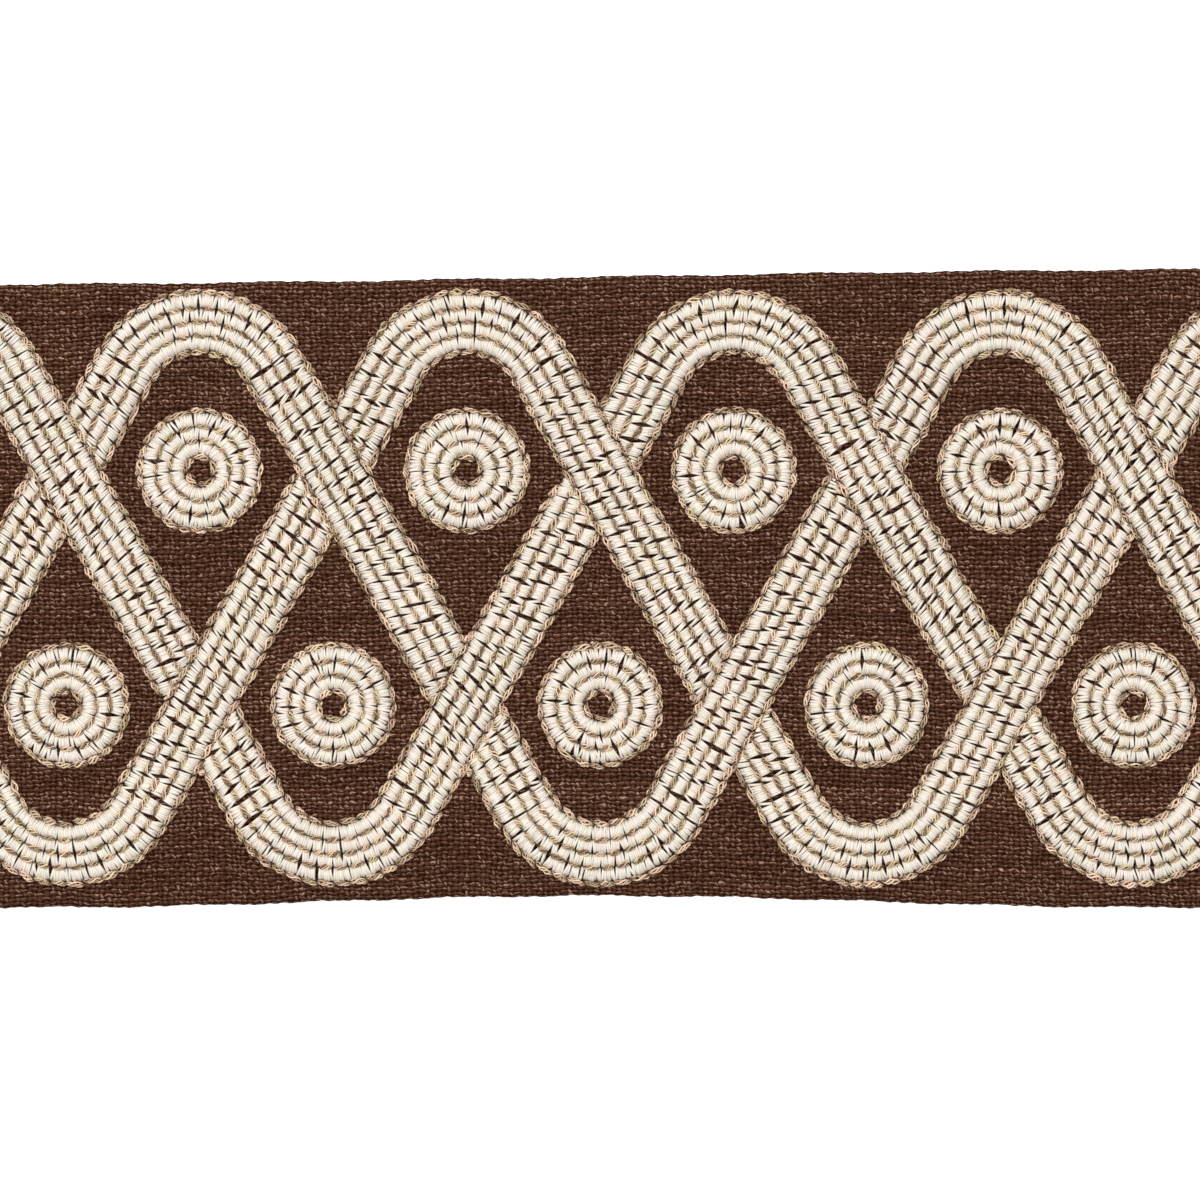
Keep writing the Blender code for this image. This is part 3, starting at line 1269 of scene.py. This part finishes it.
@dataclass
class StitchedBand:
    """One stretch of embroidery: laid cream threads held down by lines of tan stitches.

    Attributes:
        label: Name of the CAD node that it stands for.
        path: Its middle line.
        rows: Satin rows across it.
        plait: Sizes of the plait.
        stitch: Sizes of the stitches.
        tape: The cloth below.
        seed: Start of its own random numbers.
        margin: How far the threads run on past an open end before they are cut.
        table_points: Points of the table in which they are counted.
        random: Its own random numbers.
        lines: Offsets of the lines between rows and at both edges.
        holes: Needle holes of each line.
        pushes: How far each needle hole pushes the threads.
    """

    label: str
    path: HookPath | RingPath
    rows: int
    plait: PlaitForm
    stitch: StitchForm
    tape: TapeForm
    seed: int
    margin: float = 4 * MM
    table_points: int = 900
    random: np.random.Generator = field(init=False)
    lines: np.ndarray = field(init=False)
    holes: list[np.ndarray] = field(init=False)
    pushes: list[np.ndarray] = field(init=False)

    def __post_init__(self) -> None:
        """Place the needle holes on every line that parts two rows or edges the band."""
        self.random = np.random.default_rng(self.seed)
        half = self.rows * self.plait.row_width / 2
        self.lines = np.linspace(-half, half, self.rows + 1)
        self.holes = [self.needle_holes(offset) for offset in self.lines]
        self.pushes = [self.hole_pushes(number) for number in range(self.rows + 1)]

    def slope(self, along: np.ndarray) -> np.ndarray:
        """Slant of the laid threads, which drifts slowly along the band.

        It is a sum of sine waves that is damped in the bends.

        Args:
            along: Places along the path.

        Returns:
            How far a thread moves along the band for each metre across it.
        """
        waves = [
            height * np.sin(rate * along + phase * self.seed)
            for height, rate, phase in self.stitch.thread.slant_waves
        ]
        return sum(waves) * self.path.looseness(along)

    def in_bend(self, along: np.ndarray) -> np.ndarray:
        """Whether each place lies in a bend or on a roundel.

        Args:
            along: Places along the path.

        Returns:
            True or false for each place.
        """
        joints = self.path.joints
        if self.path.closed:
            return np.ones(np.shape(along), bool)
        return (along > joints[1]) & (along < joints[2])

    def needle_holes(self, offset: float) -> np.ndarray:
        """Needle holes of the tan stitches along the line at an offset.

        Each stretch is divided into whole stitches by its true length on this line. On the
        legs a slow wave, out of step from line to line, brings the holes of neighbouring
        lines abreast in some places and half a stitch apart in others, and in the bends
        their counts differ. A little scatter is added.

        Args:
            offset: Offset of the line from the path.

        Returns:
            The holes as distances along the middle line, in order.
        """
        joints = np.array(self.path.joints)
        true = np.diff(self.path.lengths(joints, offset))
        places = []
        for number, length in enumerate(true):
            bend = self.path.closed or number == 1
            pitch = self.stitch.bend_stitch if bend else self.stitch.leg_stitch
            count = max(self.stitch.fewest, int(round(length / pitch)))
            ends = joints[number : number + 2]
            places.append(np.linspace(*ends, count, endpoint=False))
        places = np.concatenate(places)
        stitch = self.stitch
        row_phase, band_phase = stitch.hole_drift_phases
        phase = row_phase * offset / self.plait.row_width + band_phase * self.seed
        wave = np.sin(stitch.hole_drift_rate * places + phase)
        drift = stitch.hole_drift * wave * self.path.looseness(places)
        places = places + offset * self.slope(places) + drift
        return np.sort(places + self.random.normal(0.0, stitch.hole_spread, len(places)))

    def hole_pushes(self, number: int) -> np.ndarray:
        """How far each needle hole of a line pushes the threads beside it.

        The slits are widest on the legs. In the bends they fade towards the inside, where
        the threads are crowded, and hardly reach the band's edges.

        Args:
            number: Number of the line, counted from the inside of the bend.

        Returns:
            The greatest push of each hole.
        """
        slit = self.stitch.slit
        holes = self.holes[number]
        on_leg = slit.leg
        in_bend = slit.bend_least + slit.bend_gain * number / self.rows
        if number in (0, self.rows):
            on_leg = slit.leg_edge
            in_bend = slit.outer_edge if number else slit.inner_edge
        share = np.where(self.in_bend(holes), in_bend, on_leg)
        return slit.push * share * self.random.uniform(*slit.push_range, len(holes))

    def thread_places(self, offset: float) -> np.ndarray:
        """Places of the laid threads, at even true pitches on the line at an offset.

        The threads are counted along a fine table of the line's true length, with the pitch
        that holds at each place, and the count is read backwards. A closed path is divided
        into whole steps.

        Args:
            offset: Offset of the line from the path.

        Returns:
            The places as distances along the middle line.
        """
        margin = 0.0 if self.path.closed else self.margin
        start, end = self.path.span
        table = np.linspace(start - margin, end + margin, self.table_points)
        steps = np.diff(self.path.lengths(table, offset))
        bent = self.in_bend(table[1:])
        pitch = np.where(bent, self.stitch.thread.bend_pitch, self.stitch.thread.leg_pitch)
        counted = np.concatenate([[0.0], np.cumsum(steps / pitch)])
        wanted = np.linspace(0.0, counted[-1], int(round(counted[-1])), endpoint=False)
        return np.interp(wanted, counted, table)

    def pushed(self, along: np.ndarray, number: int) -> np.ndarray:
        """How far the needle holes of a line push threads that meet it.

        Each thread is pushed away from its nearest hole. The push fades evenly to nothing
        half a stitch away, so the threads of one stitch close up into a block.

        Args:
            along: Where the threads would meet the line.
            number: Number of the line.

        Returns:
            Signed shifts along the path.
        """
        holes, pushes = self.holes[number], self.pushes[number]
        if self.path.closed:
            end = self.path.span[1]
            holes = np.concatenate([holes - end, holes, holes + end])
            pushes = np.tile(pushes, 3)
        after = np.clip(np.searchsorted(holes, along), 1, len(holes) - 1)
        nearer = along - holes[after - 1] < holes[after] - along
        nearest = np.where(nearer, after - 1, after)
        gap = along - holes[nearest]
        fade = np.maximum(0.0, 1.0 - np.abs(gap) / (self.stitch.leg_stitch / 2))
        return np.sign(gap) * pushes[nearest] * fade

    def clipped(self, ends: list[np.ndarray], least: float) -> tuple[np.ndarray, np.ndarray]:
        """Shares of straight stitches that are left inside the mitres and the cut ends.

        Args:
            ends: x and y of the first ends, then of the last ends.
            least: Shortest stitch that is kept.

        Returns:
            The shares along each stitch where it starts and ends, the second below the first
            where nothing is left.
        """
        half = self.tape.length / 2
        planes = self.path.limits(self.stitch.tuck)
        planes += [HalfPlane((1.0, 0.0), -half), HalfPlane((-1.0, 0.0), -half)]
        low = np.zeros(len(ends[0]))
        high = np.ones(len(ends[0]))
        for plane in planes:
            first = plane.clearance(ends[0], ends[1])
            last = plane.clearance(ends[2], ends[3])
            change = np.where(np.abs(last - first) < TINY, TINY, last - first)
            cross = -first / change
            low = np.where((first < 0) & (last > 0), np.maximum(low, cross), low)
            high = np.where((first > 0) & (last < 0), np.minimum(high, cross), high)
            high = np.where((first <= 0) & (last <= 0), -1.0, high)
        length = np.hypot(ends[2] - ends[0], ends[3] - ends[1])
        return low, np.where((high - low) * length < least, -1.0, high)

    def dip(self, x: np.ndarray, y: np.ndarray) -> np.ndarray:
        """Share of its height that the embroidery keeps under another band and at a cut end.

        Args:
            x: Places along the tape.
            y: Places across it.

        Returns:
            A smooth step from the kept share at a mitre line or a cut to 1 a little inside it.
        """
        stitch = self.stitch
        share = np.clip((self.tape.length / 2 - np.abs(x)) / stitch.cut_fade, 0.0, 1.0)
        for plane in self.path.limits(stitch.tuck):
            inside = plane.clearance(x, y) / stitch.mitre_fade
            share = np.minimum(share, np.clip(inside, 0.0, 1.0))
        return stitch.kept_height + (1 - stitch.kept_height) * share**2 * (3 - 2 * share)

    def row_ends(self, row: int) -> tuple[np.ndarray, ...]:
        """Both ends of every laid thread of a row.

        A thread starts on the row's inner line and ends on its outer one, and both ends are
        pushed along by the needle holes there. A few threads are pushed the wrong way at one
        end and so cross a slit. At a band's edge the ends are uneven.

        Args:
            row: Number of the row, counted from the inside of the bend.

        Returns:
            Place and offset of the first ends, and of the last ends.
        """
        thread, slit, rng = self.stitch.thread, self.stitch.slit, self.random
        inner, outer = self.lines[row : row + 2]
        middle = (inner + outer) / 2
        along = self.thread_places(middle)
        count = len(along)
        along = along + rng.normal(0.0, thread.place_spread, count)
        slant = self.slope(along)
        lean = rng.normal(0.0, thread.lean_spread, count)
        lean = lean + (rng.random(count) < thread.crossing_share) * thread.crossing_lean
        past, short = thread.edge_range
        found = []
        for number, line in ((row, inner), (row + 1, outer)):
            place = along + slant * line + lean * (line - middle)
            stray = np.where(rng.random(count) < slit.stray_share, slit.stray_push, 1.0)
            place = place + self.pushed(place, number) * stray
            offset = np.full(count, line)
            if number in (0, self.rows):
                place = place + rng.normal(0.0, thread.edge_spread, count)
                offset = offset - np.sign(line) * rng.uniform(-past, short, count)
            found += [place, offset]
        return tuple(found)

    def laid_threads(self, finish: bpy.types.Material) -> bpy.types.Object:
        """All cream threads as thin closed tubes, arched over each row.

        A thread runs straight between its ends in plan. Its height goes evenly from one end's
        to the other's, plus a rounded arch over the row. Its three-sided section has a flat
        side on top, shaded round, so that neighbours close up without a groove.

        Args:
            finish: The thread's material.

        Returns:
            The finished piece.
        """
        thread, rng = self.stitch.thread, self.random
        share = np.array(thread.shares)
        half = self.tape.length / 2
        centres, tones = [], []
        for row in range(self.rows):
            first, inner, last, outer = self.row_ends(row)
            ends = [*self.path.place(first, inner), *self.path.place(last, outer)]
            low, high = self.clipped(ends, thread.least)
            kept = high > low
            count = int(kept.sum())
            first, inner, last, outer = (v[kept, None] for v in (first, inner, last, outer))
            low, high = low[kept, None], high[kept, None]
            part = low + share * (high - low)
            x, y = self.path.place(first + part * (last - first), inner + part * (outer - inner))
            x = np.clip(x, -half, half)
            seats = [
                thread.edge_height if line in (0, self.rows) else thread.valley
                for line in (row, row + 1)
            ]
            arch = np.sin(math.pi * part) ** thread.arch_power
            seat = seats[0] * (1 - part) + seats[1] * part
            crest = thread.crest * (1 + rng.normal(0.0, thread.crest_spread, (count, 1)))
            height = (seat + arch * (crest - seat)) * self.dip(x, y)
            z = self.tape.face(x, y) + height - thread.radius / 2
            centres.append(np.stack([x, y, z], axis=-1))
            tone = rng.normal(thread.tone, thread.tone_spread, (count, 1))
            # Painted shade: the tone deepens towards both ends, where the thread goes down
            # between the rows.
            tones.append(np.clip(tone - thread.painted_end_shade * (1 - arch), 0.0, 1.0))
        centres, tones = np.concatenate(centres), np.concatenate(tones)
        radius = np.full(centres.shape[:2], thread.radius)
        radius[:, [0, -1]] *= thread.end_radius
        vertices, corners, counts = closed_tubes(centres, radius, THREAD_SIDES, math.pi)
        piece = mesh_piece(f"laid_{self.label}", vertices, corners, counts)
        set_attribute(piece, "tone", np.repeat(tones.ravel(), THREAD_SIDES))
        piece.data.materials.append(finish)
        return piece

    def tan_line(self, number: int) -> list[tuple[np.ndarray, ...]]:
        """The plies of all tan stitches of one line.

        A stitch runs straight from one needle hole to the next. Beside an edge row the line
        is an outline with needle holes of its own, whose stitches slant and overlap.

        Args:
            number: Number of the line, counted from the inside of the bend.

        Returns:
            For each ply its centre lines, radii, tones and hues.
        """
        stitch, rng = self.stitch, self.random
        edge = number in (0, self.rows)
        kind = stitch.outline if edge else stitch.row_line
        outer = stitch.outline_place * self.plait.outline_width
        offset = self.lines[number] + (outer if number else -outer) * edge
        holes = self.needle_holes(offset) if edge else self.holes[number]
        if self.path.closed:
            holes = np.append(holes, holes[0] + self.path.span[1])
        first, last = holes[:-1] + kind.gap, holes[1:] - kind.gap
        count = len(first)
        slant = rng.normal(kind.slant, kind.slant_spread, count)
        wander = rng.normal(0.0, kind.wander, count)
        ends = [*self.path.place(first, offset - slant + wander)]
        ends += [*self.path.place(last, offset + slant + wander)]
        low, high = self.clipped(ends, stitch.least)
        kept = high > low
        values = (first, last, slant, wander, low, high)
        first, last, slant, wander, low, high = (v[kept, None] for v in values)
        part = low + np.linspace(0.0, 1.0, stitch.points) * (high - low)
        along = first + part * (last - first)
        return self.twisted(kind, along, offset + wander + slant * (2 * part - 1))

    def twisted(
        self, kind: TanLine, along: np.ndarray, lateral: np.ndarray
    ) -> list[tuple[np.ndarray, ...]]:
        """Twist the plies of tan stitches about the stitches' own lines.

        A stitch rises out of the cloth, lies over the threads and dives again, and it swells
        along its length as a superellipse. Its plies turn about its own line, flatter than
        they are wide, and the last of them is a deeper one, which also stands in for the
        shade between the plies. Painted shade deepens the tone of the plies towards the
        ends, where the stitch dives into its holes.

        Args:
            kind: How the stitches lie.
            along: Places of their points along the path, as (stitch, point).
            lateral: Offsets of those points from it.

        Returns:
            For each ply its centre lines, radii, tones and hues.
        """
        stitch, rng = self.stitch, self.random
        single = (len(along), 1)
        share = np.linspace(0.0, 1.0, stitch.points)
        swell = np.sqrt(1 - np.abs(2 * share - 1) ** kind.roundness)
        x, y = self.path.place(along, lateral)
        beside_x, beside_y = self.path.place(along, lateral + SIDE_STEP)
        side = np.stack([beside_x - x, beside_y - y], axis=-1) / SIDE_STEP
        height = kind.base + kind.hump * swell * rng.uniform(*kind.hump_range, single)
        z = self.tape.face(x, y) + height * self.dip(x, y)
        fat = rng.uniform(*kind.fat_range, single)
        turns = rng.uniform(*kind.turn_range, single)
        phase = rng.uniform(0.0, 2 * math.pi, single)
        hue = np.clip(rng.normal(kind.warmth, kind.hue_spread, single), 0.0, 1.0)
        hues = np.repeat(hue, stitch.points, axis=1)
        reach = stitch.twist_radius * kind.spread * fat
        closing = kind.end_spread + (1 - kind.end_spread) * swell
        thinning = kind.end_thickness + (1 - kind.end_thickness) * swell
        radii = stitch.ply_radius * kind.thickness * fat * thinning
        half = self.tape.length / 2
        found = []
        for ply in range(stitch.plies):
            away = reach * rng.uniform(*kind.ply_range, single) * closing
            angle = phase + 2 * math.pi * (ply / stitch.plies + turns * share)
            angle = angle + rng.normal(0.0, kind.ply_stray, single)
            swing = away * np.cos(angle)
            px = np.clip(x + side[..., 0] * swing, -half, half)
            py = y + side[..., 1] * swing
            pz = z + away * np.sin(angle) / 2
            # The last ply is a deep one, which also stands in for the shade between the plies.
            level = kind.dark if ply == stitch.plies - 1 else kind.tint
            # Painted shade: the tone deepens towards the ends, where the stitch dives into its
            # holes.
            tone = rng.normal(level, kind.tone_spread, single) - kind.painted_end_shade * (1 - swell)
            centres = np.stack([px, py, pz], axis=-1)
            found.append((centres, radii, np.clip(tone, 0.0, 1.0), hues))
        return found

    def tan_stitches(self, finish: bpy.types.Material) -> bpy.types.Object:
        """The lines of tan stitches between rows, and the outlines beside both edge rows.

        Args:
            finish: The thread's material.

        Returns:
            The finished piece.
        """
        plies = [ply for number in range(len(self.lines)) for ply in self.tan_line(number)]
        centres, radii, tones, hues = (np.concatenate(values) for values in zip(*plies))
        vertices, corners, counts = closed_tubes(centres, radii, THREAD_SIDES, 0.0)
        piece = mesh_piece(f"tan_{self.label}", vertices, corners, counts)
        set_attribute(piece, "tone", np.repeat(tones.ravel(), THREAD_SIDES))
        set_attribute(piece, "hue", np.repeat(hues.ravel(), THREAD_SIDES))
        piece.data.materials.append(finish)
        return piece


@dataclass
class Embroidery:
    """All the stitched bands and roundels.

    Attributes:
        plait: Sizes of the plait.
        stitch: Sizes of the stitches.
        tape: The cloth below.
        bend_rows: Edge, name, and first and last place of each row of bends, in thirds of a
            repeat.
        eyes: First and last place of the plait's eyes, in sixths of a repeat.
        turn_step: How far round each roundel's stitching starts from the last one's.
    """

    plait: PlaitForm
    stitch: StitchForm
    tape: TapeForm
    bend_rows: tuple[tuple[Side, str, float, float], ...] = (
        (Side.FAR, "far", -3.5, 2.5),
        (Side.NEAR, "near", -3.0, 3.0),
    )
    eyes: tuple[int, int] = (-5, 5)
    turn_step: float = 0.7

    def bands(self) -> list[StitchedBand]:
        """Every stretch, named as its CAD node.

        Returns:
            The plait hooks from left to right on each side, and then the roundels.
        """
        found = []
        plait = self.plait
        for side, word, first, last in self.bend_rows:
            for number, step in enumerate(np.arange(first, last + 1), start=1):
                path = HookPath(plait, step * plait.period / 3, side)
                label = f"plait_{word}_{number}"
                found.append(self.band(label, path, plait.band_rows, len(found)))
        for number, step in enumerate(range(self.eyes[0], self.eyes[1] + 1), start=1):
            height = plait.crossing_height * (1 if step % 2 else -1)
            centre = (step * plait.period / 6, height)
            path = RingPath(plait, centre, self.turn_step * number)
            found.append(self.band(f"roundel_{number}", path, plait.roundel_rows, len(found)))
        return found

    def band(
        self, label: str, path: HookPath | RingPath, rows: int, seed: int
    ) -> StitchedBand:
        """One stretch of embroidery on this tape."""
        return StitchedBand(label, path, rows, self.plait, self.stitch, self.tape, seed)


@dataclass
class Studio:
    """Floor, light and camera.

    Attributes:
        floor_half: Half the side of the floor.
        camera_height: How far the camera stands above the tape.
        camera_reach: How far it sees.
        sensor: Width of the camera's sensor in millimetres.
        sky: Strength of the light from all round.
        lamps: Name, place, side and power in watts of each lamp.
    """

    floor_half: float = 3.0
    camera_height: float = 1.6
    camera_reach: float = 20.0
    sensor: float = 36.0
    sky: float = 0.45
    lamps: tuple[tuple[str, tuple[float, float, float], float, float], ...] = (
        ("overhead", (0.0, 0.05, 2.4), 0.3, 25.0),
        ("key", (-0.55, 0.75, 0.95), 0.45, 9.0),
        ("fill", (0.7, -0.4, 1.1), 0.9, 3.0),
    )

    def floor(self, finish: bpy.types.Material) -> bpy.types.Object:
        """A level square at the tape's underside.

        Args:
            finish: The floor's material.

        Returns:
            The floor.
        """
        half = self.floor_half
        corners = np.array([[-1, -1, 0], [1, -1, 0], [1, 1, 0], [-1, 1, 0]]) * half
        floor = mesh_piece("floor", corners, np.arange(4), np.array([4]))
        floor.data.materials.append(finish)
        return floor

    def camera(self) -> None:
        """A long lens straight above, framing what the photograph frames."""
        frame_width = PHOTO_PIXELS * METRES_PER_PIXEL
        lens = bpy.data.cameras.new("camera")
        lens.sensor_width = self.sensor
        lens.lens = self.sensor * self.camera_height / frame_width
        lens.clip_end = self.camera_reach
        camera = bpy.data.objects.new("camera", lens)
        drop = (TAPE_MIDDLE_ROW - PHOTO_PIXELS / 2) * METRES_PER_PIXEL
        camera.location = (0.0, drop, self.camera_height)
        bpy.context.scene.collection.objects.link(camera)
        bpy.context.scene.camera = camera

    def lamp(
        self, name: str, place: tuple[float, float, float], size: float, power: float
    ) -> None:
        """A square lamp that faces the tape.

        Args:
            name: The lamp's name.
            place: Where it stands.
            size: Length of its sides.
            power: Its power in watts.
        """
        light = bpy.data.lights.new(name, "AREA")
        light.size = size
        light.energy = power
        lamp = bpy.data.objects.new(name, light)
        lamp.location = place
        lamp.rotation_euler = (-Vector(place)).to_track_quat("-Z", "Y").to_euler()
        bpy.context.scene.collection.objects.link(lamp)

    def light(self) -> None:
        """Even light from all round and from straight above, and a soft key from one side."""
        world = bpy.data.worlds.new("studio")
        world.use_nodes = True
        background = world.node_tree.nodes["Background"]
        background.inputs["Color"].default_value = (1.0, 1.0, 1.0, 1.0)
        background.inputs["Strength"].default_value = self.sky
        bpy.context.scene.world = world
        for name, place, size, power in self.lamps:
            self.lamp(name, place, size, power)
        bpy.context.scene.view_settings.view_transform = "Standard"


def make_tape_form() -> TapeForm:
    """The tape's form, with its length and middle taken from the frame.

    Returns:
        The form.
    """
    low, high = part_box("ground_tape")
    plain = TapeForm(length=high.x - low.x)
    stations = np.linspace(low.x, high.x, OUTLINE_STATIONS)
    top = plain.edge(Side.FAR, stations).max()
    bottom = plain.edge(Side.NEAR, stations).min()
    return TapeForm(length=plain.length, centre_shift=float(top + bottom) / 2)


def main() -> None:
    """Build the cloth, then each stretch of embroidery, and set them on the frame."""
    logging.basicConfig(level=logging.INFO, format="%(message)s")
    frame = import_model()
    LOG.info("frame: %d nodes", len(frame["nodes"]))
    studio = Studio()
    studio.camera()
    studio.light()
    floor = studio.floor(PaleFloor().build())
    form = make_tape_form()
    cream, tan = LaidThread().build(), TanThread().build()
    cloth = GroundTape(form).build(WovenLinen().build())
    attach(cloth, "root")
    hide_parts("ground_tape")
    LOG.info("%s: %d faces", cloth.name, len(cloth.data.polygons))
    for band in Embroidery(PlaitForm(), StitchForm(), form).bands():
        threads = band.laid_threads(cream)
        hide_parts(band.label)
        stitches = band.tan_stitches(tan)
        for piece in (threads, stitches):
            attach(piece, "root")
            LOG.info("%s: %d faces", piece.name, len(piece.data.polygons))


if __name__ == "__main__":
    main()
